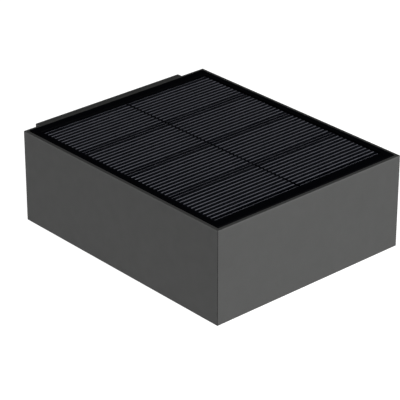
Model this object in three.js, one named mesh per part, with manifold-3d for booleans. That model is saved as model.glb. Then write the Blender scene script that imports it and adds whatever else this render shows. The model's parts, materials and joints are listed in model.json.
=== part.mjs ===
// Solar wall light: a flat anthracite box with a photovoltaic panel in its top, slightly proud of the rim,
// an opal light window in its underside, and a shallow wall bracket that it pushes onto. Millimetres.
// Frame: X runs along the wall, +Y points into the wall, +Z is up. The origin is the centre of the bracket's
// rear face, which lies on the wall. The light shines down, and the box's free front is at -Y.
import * as THREE from 'three';
import { mergeVertices } from 'three/addons/utils/BufferGeometryUtils.js';
import Module from 'manifold-3d';

const wasm = await Module();
wasm.setup();

// ---------- driving dimensions ----------
const WIDTH = 135; // housing, along the wall
const DEPTH = 163; // housing, out from the wall
const HEIGHT = 56; // housing
const WALL = 2; // housing wall
const GAP = 0.3; // between neighbouring pieces
const BRACKET = { width: 107.5, height: 52, depth: 8, sheet: 1.5, bend: 1.8 };
const PANEL_PROUD = 0.6; // how far the solar panel stands out of the rim

// ---------- places worked out from them ----------
const BACK = -BRACKET.depth - GAP; // the housing's rear face
const FRONT = BACK - DEPTH;
const MIDDLE = (FRONT + BACK) / 2;
const TOP = HEIGHT / 2;
const BOTTOM = -HEIGHT / 2;
const ROOM = { width: WIDTH - 2 * WALL, depth: DEPTH - 2 * WALL }; // inside the walls
const SIDES = [-1, 1];

// Solar panel, from its face down: a clear sheet, the cells and a backing board, all set in a black frame
const CELL = { columns: 2, rows: 4, width: 60.5, depth: 35.7, gap: 0.6, thickness: 0.3 };
const CELL_PITCH = { x: CELL.width + CELL.gap, y: CELL.depth + CELL.gap };
const PANEL_MARGIN = 0.5; // clear sheet past the outermost cells
const PANEL = {
  width: CELL.columns * CELL_PITCH.x - CELL.gap + 2 * PANEL_MARGIN,
  depth: CELL.rows * CELL_PITCH.y - CELL.gap + 2 * PANEL_MARGIN,
};
const SHEET_THICKNESS = 0.5;
const BACKING_THICKNESS = 1.6;
const PANEL_FRAME = { lipWidth: 3, lipThickness: 1.4 };
const PANEL_TOP = TOP + PANEL_PROUD;
const SHEET_BOTTOM = PANEL_TOP - SHEET_THICKNESS;
const CELL_TOP = SHEET_BOTTOM - GAP;
const CELL_BOTTOM = CELL_TOP - CELL.thickness;
const BACKING_TOP = CELL_BOTTOM - GAP;
const BACKING_BOTTOM = BACKING_TOP - BACKING_THICKNESS;
const LIP_TOP = BACKING_BOTTOM - GAP;
const PANEL_FRAME_BOTTOM = LIP_TOP - PANEL_FRAME.lipThickness;
const PANEL_SEAL = { width: 3, thickness: 0.8 };
const PANEL_SEAL_TOP = PANEL_FRAME_BOTTOM - GAP;

// Chassis: ledges under the panel and above the cover, joined by screw posts
const LEDGE = { width: 5, thickness: 1.5 };
const CHASSIS = { width: ROOM.width - 2 * GAP, depth: ROOM.depth - 2 * GAP };
const TOP_LEDGE = PANEL_SEAL_TOP - PANEL_SEAL.thickness - GAP; // upper face of the ledge under the panel
const BOTTOM_LEDGE = BOTTOM + 6; // lower face of the ledge above the cover
const POST = { size: 10, holeRadius: 1.8, holeDepth: 16 };
const POST_X = CHASSIS.width / 2 - POST.size / 2;
const POST_Y = [MIDDLE - CHASSIS.depth / 2 + POST.size / 2, MIDDLE + CHASSIS.depth / 2 - POST.size / 2];

// Underside: gasket, then cover, recessed in the walls
const SEAL_THICKNESS = 1;
const SEAL_WIDTH = 2.6;
const COVER_THICKNESS = 2;
const SEAL_TOP = BOTTOM_LEDGE - GAP;
const COVER_TOP = SEAL_TOP - SEAL_THICKNESS - GAP;
const COVER_BOTTOM = COVER_TOP - COVER_THICKNESS;

// Light window
const LIGHT_FROM_FRONT = 45.3; // housing front to the middle of the window
const LIGHT_Y = FRONT + LIGHT_FROM_FRONT;
const WINDOW = { width: 104, depth: 66, corner: 4 };
const WINDOW_LIP = 3; // how far the diffuser and its gasket reach past the window
const DIFFUSER = { flange: 1.5, proud: 0.4, wall: 1.6 };
const WINDOW_SEAL_THICKNESS = 0.6;
const WINDOW_SEAL_TOP = COVER_TOP + GAP + WINDOW_SEAL_THICKNESS;
const DIFFUSER_TOP = WINDOW_SEAL_TOP + GAP + DIFFUSER.flange;
const REFLECTOR = { width: 108, depth: 70, height: 14, taper: 8, wall: 1.6 };
const REFLECTOR_BOTTOM = DIFFUSER_TOP + GAP;
const REFLECTOR_TOP = REFLECTOR_BOTTOM + REFLECTOR.height;
const LED_BOARD = { width: 84, depth: 46, thickness: 1.6 };
const LED = { columns: 4, rows: 2, pitchX: 22, pitchY: 24, size: 3.5, height: 0.9 };
const LED_BOARD_TOP = REFLECTOR_TOP - REFLECTOR.wall - GAP;
const LED_LEAD_Y = LIGHT_Y + 17;

// Electronics, behind the light window
const ELECTRONICS_FROM_BACK = 39.7; // housing back to the middle of the board and the batteries
const ELECTRONICS_Y = BACK - ELECTRONICS_FROM_BACK;
const TRAY_THICKNESS = 2;
const TRAY_TOP = TOP_LEDGE - LEDGE.thickness - GAP;
const TRAY_BOTTOM = TRAY_TOP - TRAY_THICKNESS;
const BATTERY = { radius: 9.2, length: 65, pitch: 19.8 };
const BATTERY_BOX = { width: 74, depth: 43, height: 22, wall: 1.6 };
const BATTERY_BOX_BOTTOM = TRAY_BOTTOM - GAP - BATTERY_BOX.height;
const BATTERY_Z = BATTERY_BOX_BOTTOM + BATTERY_BOX.wall + GAP + BATTERY.radius;
const CONTACT = { thickness: 0.5, depth: 36, height: 12 };
const CONTROL_BOARD = { width: 60, depth: 44, thickness: 1.6 };
const STANDOFF = { radius: 2.5, height: 9, inset: 4, pinRadius: 1.2 };
const BOARD_BOTTOM = COVER_TOP + STANDOFF.height + GAP;
const BOARD_TOP = BOARD_BOTTOM + CONTROL_BOARD.thickness;
const SWITCH = { size: 6, height: 3.5, plungerRadius: 1.7, plungerHeight: 1 };
const SWITCH_BOTTOM = BOARD_BOTTOM - GAP - SWITCH.height - SWITCH.plungerHeight;

// Mode button
const BUTTON = { radius: 5.5, proud: 0.8, travel: 1, flangeRadius: 7.5, flange: 1, stemRadius: 2 };
const BUTTON_HOLE_RADIUS = BUTTON.radius + GAP;
const BUTTON_SEAL = { inner: 6.4, outer: 9, thickness: 0.7 };

// Hanging
const HANGER = { sheet: 1.2, height: 32, tabDepth: 5.9 };
const HANGER_HALF = BRACKET.width / 2 - BRACKET.sheet - 0.65; // outer faces of the tabs
const HANGER_FRONT = BACK + GAP;
const RIVET = { x: 38, z: 10, radius: 1.5, headRadius: 3, headHeight: 1.2 };
const CLAMP_Y = -BRACKET.depth + 3;
const CLAMP_SCREW = { radius: 1.4, headRadius: 2.75, headHeight: 1.6, length: 5 };
const COVER_SCREW = { radius: 1.5, headRadius: 2.8, headHeight: 1.7, length: 14 };
const CLEAR_HOLE_RADIUS = 1.8;
const WALL_SLOT = { x: 35, length: 12, width: 5 };
const DRAIN = { x: 20, radius: 2 };
const LEAD_RADIUS = 1;
const LEAD_HOLE_RADIUS = 2.5;
const PANEL_LEAD_Y = MIDDLE + PANEL.depth / 2 - PANEL_FRAME.lipWidth - LEAD_HOLE_RADIUS - 1;

// ---------- solids ----------

// Turn a closed geometry into a solid that can be joined and cut
function solid(geometry) {
  const bare = geometry.clone();
  bare.deleteAttribute('normal');
  bare.deleteAttribute('uv');
  const merged = mergeVertices(bare, 1e-4);
  const mesh = new wasm.Mesh({
    numProp: 3,
    vertProperties: new Float32Array(merged.attributes.position.array),
    triVerts: new Uint32Array(merged.index.array),
  });
  mesh.merge();
  return new wasm.Manifold(mesh);
}

function geometryOf(shape) {
  const mesh = shape.getMesh();
  const geometry = new THREE.BufferGeometry();
  geometry.setAttribute('position', new THREE.BufferAttribute(mesh.vertProperties, 3));
  geometry.setIndex(new THREE.BufferAttribute(mesh.triVerts, 1));
  geometry.computeVertexNormals();
  return geometry;
}

function joined(...shapes) {
  return shapes.reduce((sum, shape) => sum.add(shape));
}

function cutBy(shape, ...tools) {
  return tools.reduce((rest, tool) => rest.subtract(tool), shape);
}

// A box between two values on each axis
function block([x0, x1], [y0, y1], [z0, z1]) {
  const box = new THREE.BoxGeometry(x1 - x0, y1 - y0, z1 - z0);
  box.translate((x0 + x1) / 2, (y0 + y1) / 2, (z0 + z1) / 2);
  return solid(box);
}

// A box of a width and depth centred at x, y
function slab(width, depth, [z0, z1], x = 0, y = MIDDLE) {
  return block([x - width / 2, x + width / 2], [y - depth / 2, y + depth / 2], [z0, z1]);
}

// A slab with rounded upright corners
function roundedSlab(width, depth, corner, [z0, z1], x = 0, y = MIDDLE) {
  const w = width / 2 - corner;
  const d = depth / 2 - corner;
  const outline = new THREE.Shape();
  outline.absarc(w, d, corner, 0, Math.PI / 2);
  outline.absarc(-w, d, corner, Math.PI / 2, Math.PI);
  outline.absarc(-w, -d, corner, Math.PI, 1.5 * Math.PI);
  outline.absarc(w, -d, corner, 1.5 * Math.PI, 2 * Math.PI);
  const plate = new THREE.ExtrudeGeometry(outline, { depth: z1 - z0, bevelEnabled: false, curveSegments: 5 });
  plate.translate(x, y, z0);
  return solid(plate);
}

// A flat frame: a slab with a smaller slab taken out of its middle
function frame(width, depth, border, [z0, z1]) {
  const opening = slab(width - 2 * border, depth - 2 * border, [z0 - 1, z1 + 1]);
  return slab(width, depth, [z0, z1]).subtract(opening);
}

// A slab that is narrower at its top by the same amount on all four sides
function taperedSlab(width, depth, taper, [z0, z1], y) {
  const box = new THREE.BoxGeometry(width, depth, z1 - z0);
  const corners = box.attributes.position;
  for (let i = 0; i < corners.count; i += 1) {
    if (corners.getZ(i) > 0) {
      corners.setX(i, corners.getX(i) - Math.sign(corners.getX(i)) * taper);
      corners.setY(i, corners.getY(i) - Math.sign(corners.getY(i)) * taper);
    }
  }
  box.translate(0, y, (z0 + z1) / 2);
  return solid(box);
}

// A round bar between two values on the named axis, through the point given by the other two coordinates
function rod(axis, radius, [from, to], [a, b], sides = 24) {
  const bar = new THREE.CylinderGeometry(radius, radius, to - from, sides);
  const middle = (from + to) / 2;
  if (axis === 'x') bar.rotateZ(-Math.PI / 2).translate(middle, a, b);
  if (axis === 'y') bar.translate(a, middle, b);
  if (axis === 'z') bar.rotateX(Math.PI / 2).translate(a, b, middle);
  return solid(bar);
}

// A piece turned about its Z axis, from [radius, height] points that start and end on it, lowest first
function turned(profile, sides = 24) {
  const points = profile.map(([radius, height]) => new THREE.Vector2(radius, height));
  return new THREE.LatheGeometry(points, sides).rotateX(Math.PI / 2);
}

// A pan head screw with a hexagon socket: its shank points to -Z and its head starts at 0
function screwGeometry({ radius, headRadius, headHeight, length }) {
  const chamfer = 0.4;
  const socketRadius = headRadius * 0.45;
  const socketFloor = headHeight * 0.4;
  const body = solid(turned([
    [0, -length],
    [radius - chamfer, -length],
    [radius, -length + chamfer],
    [radius, 0],
    [headRadius, 0],
    [headRadius, headHeight - 2 * chamfer],
    [headRadius - 2 * chamfer, headHeight],
    [0, headHeight],
  ]));
  const socket = rod('z', socketRadius, [socketFloor, headHeight + 1], [0, 0], 6);
  return geometryOf(body.subtract(socket));
}

// A lead that follows a smooth line through some points
function leadGeometry(points) {
  const line = new THREE.CatmullRomCurve3(points.map((p) => new THREE.Vector3(...p)), false, 'centripetal');
  const section = new THREE.Shape();
  section.absarc(0, 0, LEAD_RADIUS, 0, 2 * Math.PI);
  const tube = new THREE.ExtrudeGeometry(section, { steps: 24, curveSegments: 4, extrudePath: line });
  return geometryOf(solid(tube));
}

// ---------- materials ----------
function material(colour, roughness, metalness = 0) {
  return new THREE.MeshStandardMaterial({ color: colour, roughness, metalness });
}

const coats = {
  anthracite: () => material(0x54565a, 0.6, 0.1),
  steel: () => material(0xb4b6b8, 0.35, 1),
  clear: () => {
    const film = material(0x0a0c10, 0.1);
    film.transparent = true;
    film.opacity = 0.35;
    return film;
  },
  cell: () => material(0x0b0d16, 0.3, 0.2),
  black: () => material(0x08090b, 0.6),
  rubber: () => material(0x101112, 0.85),
  opal: () => material(0xf1f1ec, 0.4),
  white: () => material(0xeeeeea, 0.5),
  greenBoard: () => material(0x1d5a37, 0.5),
  led: () => material(0xf3d65a, 0.3),
  battery: () => material(0x2f66a8, 0.4),
  nickel: () => material(0xc3c2ba, 0.35, 1),
  lead: () => material(0x9c1f1c, 0.5),
};

const light = new THREE.Group();

// Add one piece: a name, a coat and either a solid in the light's frame or a geometry with its own place
function add(name, coat, shape) {
  const geometry = shape.isBufferGeometry ? shape : geometryOf(shape);
  const mesh = new THREE.Mesh(geometry, coats[coat]());
  mesh.name = name;
  light.add(mesh);
  return mesh;
}

// ---------- wall bracket ----------
function wallBracket() {
  const { width, height, depth, sheet } = BRACKET;
  const front = block([-width, width], [-width, -depth], [-width, width]);
  const inside = width / 2 - sheet;
  const hollow = block([-inside, inside], [-depth - 1, -sheet], [-height / 2 + sheet, height / 2 - sheet]);
  const reach = (WALL_SLOT.length - WALL_SLOT.width) / 2;
  const openings = SIDES.flatMap((side) => [
    block(
      [side * WALL_SLOT.x - reach, side * WALL_SLOT.x + reach],
      [-depth, 1],
      [-WALL_SLOT.width / 2, WALL_SLOT.width / 2],
    ),
    rod('y', WALL_SLOT.width / 2, [-depth, 1], [side * WALL_SLOT.x - reach, 0]),
    rod('y', WALL_SLOT.width / 2, [-depth, 1], [side * WALL_SLOT.x + reach, 0]),
    rod('z', DRAIN.radius, [-height / 2 - 1, 0], [side * DRAIN.x, CLAMP_Y]),
  ]);
  const clampHoles = rod('x', CLEAR_HOLE_RADIUS, [-width, width], [CLAMP_Y, 0]);
  return cutBy(bentPlate(), front, hollow, clampHoles, ...openings);
}

// The bracket's outside, with its four bends rounded towards the wall
function bentPlate() {
  const { width, height, depth, bend } = BRACKET;
  const outline = new THREE.Shape();
  outline.moveTo(-width / 2 + bend, -height / 2 + bend);
  outline.lineTo(width / 2 - bend, -height / 2 + bend);
  outline.lineTo(width / 2 - bend, height / 2 - bend);
  outline.lineTo(-width / 2 + bend, height / 2 - bend);
  const plate = new THREE.ExtrudeGeometry(outline, {
    depth: depth,
    bevelThickness: bend,
    bevelSize: bend,
    bevelSegments: 4,
  });
  plate.rotateX(Math.PI / 2).translate(0, -bend, 0);
  return solid(plate);
}

function addBracket() {
  add('wall_bracket', 'anthracite', wallBracket());
  for (const side of SIDES) {
    const screw = add(`clamp_screw_${side < 0 ? 'left' : 'right'}`, 'steel', screwGeometry(CLAMP_SCREW));
    screw.position.set(side * (BRACKET.width / 2 + GAP), CLAMP_Y, 0);
    screw.rotation.y = side * Math.PI / 2;
  }
}

// ---------- hanger plate on the housing's back ----------
function hangerPlate() {
  const z = [-HANGER.height / 2, HANGER.height / 2];
  const web = block([-HANGER_HALF, HANGER_HALF], [HANGER_FRONT, HANGER_FRONT + HANGER.sheet], z);
  const tabs = SIDES.map((side) => {
    const x = [side * HANGER_HALF, side * (HANGER_HALF - HANGER.sheet)].sort((a, b) => a - b);
    return block(x, [HANGER_FRONT, HANGER_FRONT + HANGER.tabDepth], z);
  });
  // The notches are open to the wall, so that the light pulls off over loosened screws
  const notch = block([-WIDTH, WIDTH], [CLAMP_Y, 0], [-CLEAR_HOLE_RADIUS, CLEAR_HOLE_RADIUS]);
  const notchEnd = rod('x', CLEAR_HOLE_RADIUS, [-WIDTH, WIDTH], [CLAMP_Y, 0]);
  return cutBy(joined(web, ...tabs), notch, notchEnd, ...rivetHoles());
}

function rivetHoles() {
  return SIDES.flatMap((x) => SIDES.map((z) => {
    const place = [x * RIVET.x, z * RIVET.z];
    return rod('y', CLEAR_HOLE_RADIUS, [BACK - 2 * WALL, 0], place);
  }));
}

function rivetGeometry() {
  const { radius, headRadius, headHeight } = RIVET;
  const grip = WALL + HANGER.sheet + 3 * GAP;
  return geometryOf(solid(turned([
    [0, -grip - headHeight],
    [headRadius * 0.75, -grip - headHeight],
    [headRadius * 0.9, -grip],
    [radius, -grip],
    [radius, 0],
    [headRadius, 0],
    [headRadius * 0.8, headHeight * 0.7],
    [headRadius / 2, headHeight],
    [0, headHeight],
  ])));
}

function addHanger() {
  add('hanger_plate', 'steel', hangerPlate());
  let number = 1;
  for (const x of SIDES) {
    for (const z of SIDES) {
      const rivet = add(`hanger_rivet_${number}`, 'steel', rivetGeometry());
      rivet.position.set(x * RIVET.x, HANGER_FRONT + HANGER.sheet + GAP, z * RIVET.z);
      rivet.rotation.x = -Math.PI / 2;
      number += 1;
    }
  }
}

// ---------- housing and the chassis inside it ----------
function housing() {
  return cutBy(frame(WIDTH, DEPTH, WALL, [BOTTOM, TOP]), ...rivetHoles());
}

function chassis() {
  const { width, depth } = CHASSIS;
  const topLedge = frame(width, depth, LEDGE.width, [TOP_LEDGE - LEDGE.thickness, TOP_LEDGE]);
  const bottomLedge = frame(width, depth, LEDGE.width, [BOTTOM_LEDGE, BOTTOM_LEDGE + LEDGE.thickness]);
  const corners = POST_Y.flatMap((y) => SIDES.map((side) => [side * POST_X, y]));
  const postZ = [BOTTOM_LEDGE, TOP_LEDGE - LEDGE.thickness / 2];
  const posts = corners.map(([x, y]) => slab(POST.size, POST.size, postZ, x, y));
  const holeZ = [BOTTOM_LEDGE - 1, BOTTOM_LEDGE + POST.holeDepth];
  const screwHoles = corners.map((place) => rod('z', POST.holeRadius, holeZ, place));
  return cutBy(joined(topLedge, bottomLedge, ...posts), ...screwHoles);
}

// ---------- panel ----------
function panelFrame() {
  const border = (CHASSIS.width - PANEL.width) / 2 - GAP;
  const deepBorder = (CHASSIS.depth - PANEL.depth) / 2 - GAP;
  const outside = slab(CHASSIS.width, CHASSIS.depth, [PANEL_FRAME_BOTTOM, PANEL_TOP]);
  const recess = slab(
    CHASSIS.width - 2 * border,
    CHASSIS.depth - 2 * deepBorder,
    [LIP_TOP, PANEL_TOP + 1],
  );
  const opening = slab(
    PANEL.width - 2 * PANEL_FRAME.lipWidth,
    PANEL.depth - 2 * PANEL_FRAME.lipWidth,
    [PANEL_FRAME_BOTTOM - 1, PANEL_TOP],
  );
  return cutBy(outside, recess, opening);
}

function addPanel() {
  add('panel_frame', 'black', panelFrame());
  add('panel_sheet', 'clear', slab(PANEL.width, PANEL.depth, [SHEET_BOTTOM, PANEL_TOP]));
  for (let row = 0; row < CELL.rows; row += 1) {
    for (let column = 0; column < CELL.columns; column += 1) {
      const x = (column - (CELL.columns - 1) / 2) * CELL_PITCH.x;
      const y = MIDDLE + (row - (CELL.rows - 1) / 2) * CELL_PITCH.y;
      const number = row * CELL.columns + column + 1;
      add(`solar_cell_${number}`, 'cell', slab(CELL.width, CELL.depth, [CELL_BOTTOM, CELL_TOP], x, y));
    }
  }
  const leadHole = rod('z', LEAD_HOLE_RADIUS, [BACKING_BOTTOM - 1, BACKING_TOP - 0.5], [0, PANEL_LEAD_Y]);
  const backing = slab(PANEL.width, PANEL.depth, [BACKING_BOTTOM, BACKING_TOP]);
  add('panel_backing', 'black', backing.subtract(leadHole));
  const sealZ = [PANEL_SEAL_TOP - PANEL_SEAL.thickness, PANEL_SEAL_TOP];
  add('panel_gasket', 'rubber', frame(CHASSIS.width, CHASSIS.depth, PANEL_SEAL.width, sealZ));
}

// ---------- underside ----------
function bottomCover() {
  const plate = slab(CHASSIS.width, CHASSIS.depth, [COVER_BOTTOM, COVER_TOP]);
  const through = [COVER_BOTTOM - 1, COVER_TOP + 1];
  const window = roundedSlab(WINDOW.width, WINDOW.depth, WINDOW.corner, through, 0, LIGHT_Y);
  const buttonHole = rod('z', BUTTON_HOLE_RADIUS, through, [0, ELECTRONICS_Y], 32);
  const screwHoles = POST_Y.flatMap((y) => SIDES.map(
    (side) => rod('z', CLEAR_HOLE_RADIUS, through, [side * POST_X, y]),
  ));
  const standoffs = boardCorners().flatMap((place) => [
    rod('z', STANDOFF.radius, [COVER_TOP - 1, BOARD_BOTTOM - GAP], place, 16),
    rod('z', STANDOFF.pinRadius, [COVER_TOP - 1, BOARD_TOP + GAP], place, 16),
  ]);
  return joined(cutBy(plate, window, buttonHole, ...screwHoles), ...standoffs);
}

function boardCorners() {
  const x = CONTROL_BOARD.width / 2 - STANDOFF.inset;
  const y = CONTROL_BOARD.depth / 2 - STANDOFF.inset;
  return SIDES.flatMap((sideX) => SIDES.map((sideY) => [sideX * x, ELECTRONICS_Y + sideY * y]));
}

function addUnderside() {
  add('bottom_cover', 'anthracite', bottomCover());
  const sealZ = [SEAL_TOP - SEAL_THICKNESS, SEAL_TOP];
  add('cover_gasket', 'rubber', frame(CHASSIS.width, CHASSIS.depth, SEAL_WIDTH, sealZ));
  let number = 1;
  for (const y of POST_Y) {
    for (const side of SIDES) {
      const screw = add(`cover_screw_${number}`, 'steel', screwGeometry(COVER_SCREW));
      screw.position.set(side * POST_X, y, COVER_BOTTOM - GAP);
      screw.rotation.x = Math.PI;
      number += 1;
    }
  }
}

// ---------- light window ----------
function diffuser() {
  const nose = { width: WINDOW.width - 2 * GAP, depth: WINDOW.depth - 2 * GAP };
  const flangeSize = [WINDOW.width + 2 * WINDOW_LIP, WINDOW.depth + 2 * WINDOW_LIP];
  const flange = roundedSlab(
    ...flangeSize,
    WINDOW.corner,
    [DIFFUSER_TOP - DIFFUSER.flange, DIFFUSER_TOP],
    0,
    LIGHT_Y,
  );
  const face = roundedSlab(
    nose.width,
    nose.depth,
    WINDOW.corner - GAP,
    [COVER_BOTTOM - DIFFUSER.proud, DIFFUSER_TOP - DIFFUSER.flange / 2],
    0,
    LIGHT_Y,
  );
  const pocket = roundedSlab(
    nose.width - 2 * DIFFUSER.wall,
    nose.depth - 2 * DIFFUSER.wall,
    WINDOW.corner - GAP - DIFFUSER.wall,
    [COVER_BOTTOM - DIFFUSER.proud + DIFFUSER.wall, DIFFUSER_TOP + 1],
    0,
    LIGHT_Y,
  );
  return cutBy(joined(flange, face), pocket);
}

function windowSeal() {
  const z = [WINDOW_SEAL_TOP - WINDOW_SEAL_THICKNESS, WINDOW_SEAL_TOP];
  const outer = roundedSlab(
    WINDOW.width + 2 * WINDOW_LIP,
    WINDOW.depth + 2 * WINDOW_LIP,
    WINDOW.corner,
    z,
    0,
    LIGHT_Y,
  );
  const opening = roundedSlab(WINDOW.width, WINDOW.depth, WINDOW.corner, [z[0] - 1, z[1] + 1], 0, LIGHT_Y);
  return outer.subtract(opening);
}

function reflector() {
  const { width, depth, taper, wall, height } = REFLECTOR;
  const outside = taperedSlab(width, depth, taper, [REFLECTOR_BOTTOM, REFLECTOR_TOP], LIGHT_Y);
  const inside = taperedSlab(
    width - 2 * wall,
    depth - 2 * wall,
    taper,
    [REFLECTOR_BOTTOM - wall, REFLECTOR_BOTTOM + height - wall],
    LIGHT_Y,
  );
  const leadHoleZ = [REFLECTOR_TOP - 2 * wall, REFLECTOR_TOP + 1];
  const leadHole = rod('z', LEAD_HOLE_RADIUS, leadHoleZ, [0, LED_LEAD_Y]);
  return cutBy(outside, inside, leadHole);
}

function addLight() {
  add('diffuser', 'opal', diffuser());
  add('diffuser_gasket', 'rubber', windowSeal());
  add('reflector', 'white', reflector());
  const boardZ = [LED_BOARD_TOP - LED_BOARD.thickness, LED_BOARD_TOP];
  add('led_board', 'white', slab(LED_BOARD.width, LED_BOARD.depth, boardZ, 0, LIGHT_Y));
  for (let row = 0; row < LED.rows; row += 1) {
    for (let column = 0; column < LED.columns; column += 1) {
      const x = (column - (LED.columns - 1) / 2) * LED.pitchX;
      const y = LIGHT_Y + (row - (LED.rows - 1) / 2) * LED.pitchY;
      const z = [boardZ[0] - GAP - LED.height, boardZ[0] - GAP];
      add(`led_${row * LED.columns + column + 1}`, 'led', slab(LED.size, LED.size, z, x, y));
    }
  }
}

// ---------- electronics ----------
function electronicsTray() {
  const corner = POST.size + GAP;
  const plate = slab(CHASSIS.width, CHASSIS.depth, [TRAY_BOTTOM, TRAY_TOP]);
  const corners = POST_Y.flatMap((y) => SIDES.map((side) => slab(
    2 * corner - POST.size,
    2 * corner - POST.size,
    [TRAY_BOTTOM - 1, TRAY_TOP + 1],
    side * POST_X,
    y,
  )));
  const leadHole = rod('z', LEAD_HOLE_RADIUS, [TRAY_BOTTOM - 1, TRAY_TOP + 1], [0, PANEL_LEAD_Y]);
  return cutBy(plate, leadHole, ...corners);
}

function batteryBox() {
  const { width, depth, height, wall } = BATTERY_BOX;
  const top = BATTERY_BOX_BOTTOM + height;
  const box = slab(width, depth, [BATTERY_BOX_BOTTOM, top], 0, ELECTRONICS_Y);
  const hollow = slab(
    width - 2 * wall,
    depth - 2 * wall,
    [BATTERY_BOX_BOTTOM + wall, top + 1],
    0,
    ELECTRONICS_Y,
  );
  const leadHoleX = [width / 2 - 2 * wall, width / 2 + 1];
  const leadHole = rod('x', LEAD_HOLE_RADIUS, leadHoleX, [ELECTRONICS_Y, BATTERY_Z]);
  return cutBy(box, hollow, leadHole);
}

function batteryGeometry() {
  const { radius, length } = BATTERY;
  const rim = 0.8;
  const cap = 3;
  return geometryOf(solid(turned([
    [0, -length / 2],
    [radius - rim, -length / 2],
    [radius, -length / 2 + rim],
    [radius, length / 2 - 2 * rim],
    [radius - rim, length / 2 - rim],
    [cap, length / 2 - rim],
    [cap, length / 2],
    [0, length / 2],
  ], 32)));
}

function controlBoard() {
  const board = slab(
    CONTROL_BOARD.width,
    CONTROL_BOARD.depth,
    [BOARD_BOTTOM, BOARD_TOP],
    0,
    ELECTRONICS_Y,
  );
  const holes = boardCorners().map((place) => rod(
    'z',
    STANDOFF.pinRadius + GAP,
    [BOARD_BOTTOM - 1, BOARD_TOP + 1],
    place,
    16,
  ));
  return cutBy(board, ...holes);
}

function modeSwitch() {
  const bodyBottom = SWITCH_BOTTOM + SWITCH.plungerHeight;
  const body = slab(SWITCH.size, SWITCH.size, [bodyBottom, bodyBottom + SWITCH.height], 0, ELECTRONICS_Y);
  const plunger = rod('z', SWITCH.plungerRadius, [SWITCH_BOTTOM, bodyBottom + 1], [0, ELECTRONICS_Y]);
  return body.add(plunger);
}

function addElectronics() {
  add('electronics_tray', 'black', electronicsTray());
  add('battery_box', 'black', batteryBox());
  for (const side of SIDES) {
    const battery = add(`battery_${side < 0 ? 'front' : 'rear'}`, 'battery', batteryGeometry());
    battery.position.set(0, ELECTRONICS_Y + side * BATTERY.pitch / 2, BATTERY_Z);
    battery.rotation.y = side * Math.PI / 2;
    const x = side * (BATTERY.length / 2 + GAP + CONTACT.thickness / 2);
    const z = [BATTERY_Z - CONTACT.height / 2, BATTERY_Z + CONTACT.height / 2];
    const contact = slab(CONTACT.thickness, CONTACT.depth, z, x, ELECTRONICS_Y);
    add(`battery_contact_${side < 0 ? 'left' : 'right'}`, 'nickel', contact);
  }
  add('control_board', 'greenBoard', controlBoard());
  add('mode_switch', 'black', modeSwitch());
}

// ---------- leads, all inside the housing ----------
function addLeads() {
  const boardRest = BOARD_TOP + GAP;
  const boardRearY = ELECTRONICS_Y + CONTROL_BOARD.depth / 2 - 5;
  const boardFrontY = ELECTRONICS_Y - CONTROL_BOARD.depth / 2 + 5;
  const boxSide = BATTERY_BOX.width / 2;
  add('panel_lead', 'lead', leadGeometry([
    [0, PANEL_LEAD_Y, BACKING_BOTTOM + GAP],
    [0, PANEL_LEAD_Y, TRAY_BOTTOM - 6],
    [0, PANEL_LEAD_Y, boardRest + 9],
    [0, PANEL_LEAD_Y - 2, boardRest + 4],
    [0, boardRearY, boardRest + LEAD_RADIUS],
  ]));
  add('battery_lead', 'lead', leadGeometry([
    [boxSide - BATTERY_BOX.wall, ELECTRONICS_Y, BATTERY_Z],
    [boxSide + 3, ELECTRONICS_Y, BATTERY_Z],
    [boxSide + 6, ELECTRONICS_Y, BATTERY_Z - 6],
    [boxSide + 4, ELECTRONICS_Y, boardRest + 6],
    [CONTROL_BOARD.width / 2 - 6, ELECTRONICS_Y, boardRest + LEAD_RADIUS],
  ]));
  add('led_lead', 'lead', leadGeometry([
    [0, LED_LEAD_Y, LED_BOARD_TOP + GAP],
    [0, LED_LEAD_Y, REFLECTOR_TOP + 2],
    [0, LED_LEAD_Y + 6, REFLECTOR_TOP + 6],
    [0, (LED_LEAD_Y + boardFrontY) / 2, REFLECTOR_TOP + 5],
    [0, boardFrontY - 8, boardRest + 3],
    [0, boardFrontY, boardRest + LEAD_RADIUS],
  ]));
}

// ---------- mode button, pushed up from below ----------
function modeButton() {
  const face = COVER_BOTTOM - BUTTON.proud;
  const flangeBottom = COVER_TOP + GAP + BUTTON_SEAL.thickness + GAP;
  const flangeTop = flangeBottom + BUTTON.flange;
  const stemTop = SWITCH_BOTTOM - GAP - BUTTON.travel;
  const round = 0.5;
  return solid(turned([
    [0, face],
    [BUTTON.radius - 2 * round, face],
    [BUTTON.radius - round / 2, face + round / 2],
    [BUTTON.radius, face + round],
    [BUTTON.radius, flangeBottom],
    [BUTTON.flangeRadius, flangeBottom],
    [BUTTON.flangeRadius, flangeTop],
    [BUTTON.stemRadius, flangeTop],
    [BUTTON.stemRadius, stemTop],
    [0, stemTop],
  ], 32).translate(0, ELECTRONICS_Y, 0));
}

function buttonSeal() {
  const z = [COVER_TOP + GAP, COVER_TOP + GAP + BUTTON_SEAL.thickness];
  const place = [0, ELECTRONICS_Y];
  return rod('z', BUTTON_SEAL.outer, z, place, 32).subtract(
    rod('z', BUTTON_SEAL.inner, [z[0] - 1, z[1] + 1], place, 32),
  );
}

// ---------- the whole light ----------
addBracket();
addHanger();
add('housing', 'anthracite', housing());
add('chassis', 'black', chassis());
addPanel();
addUnderside();
addLight();
addElectronics();
addLeads();
add('mode_button', 'rubber', modeButton());
add('button_seal', 'rubber', buttonSeal());

export default light;
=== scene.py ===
"""Looks of the solar wall light: finished meshes and materials round its CAD frame, with a plain studio."""

import json
import math

import bmesh
import bpy
from mathutils import Matrix, Vector


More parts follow.
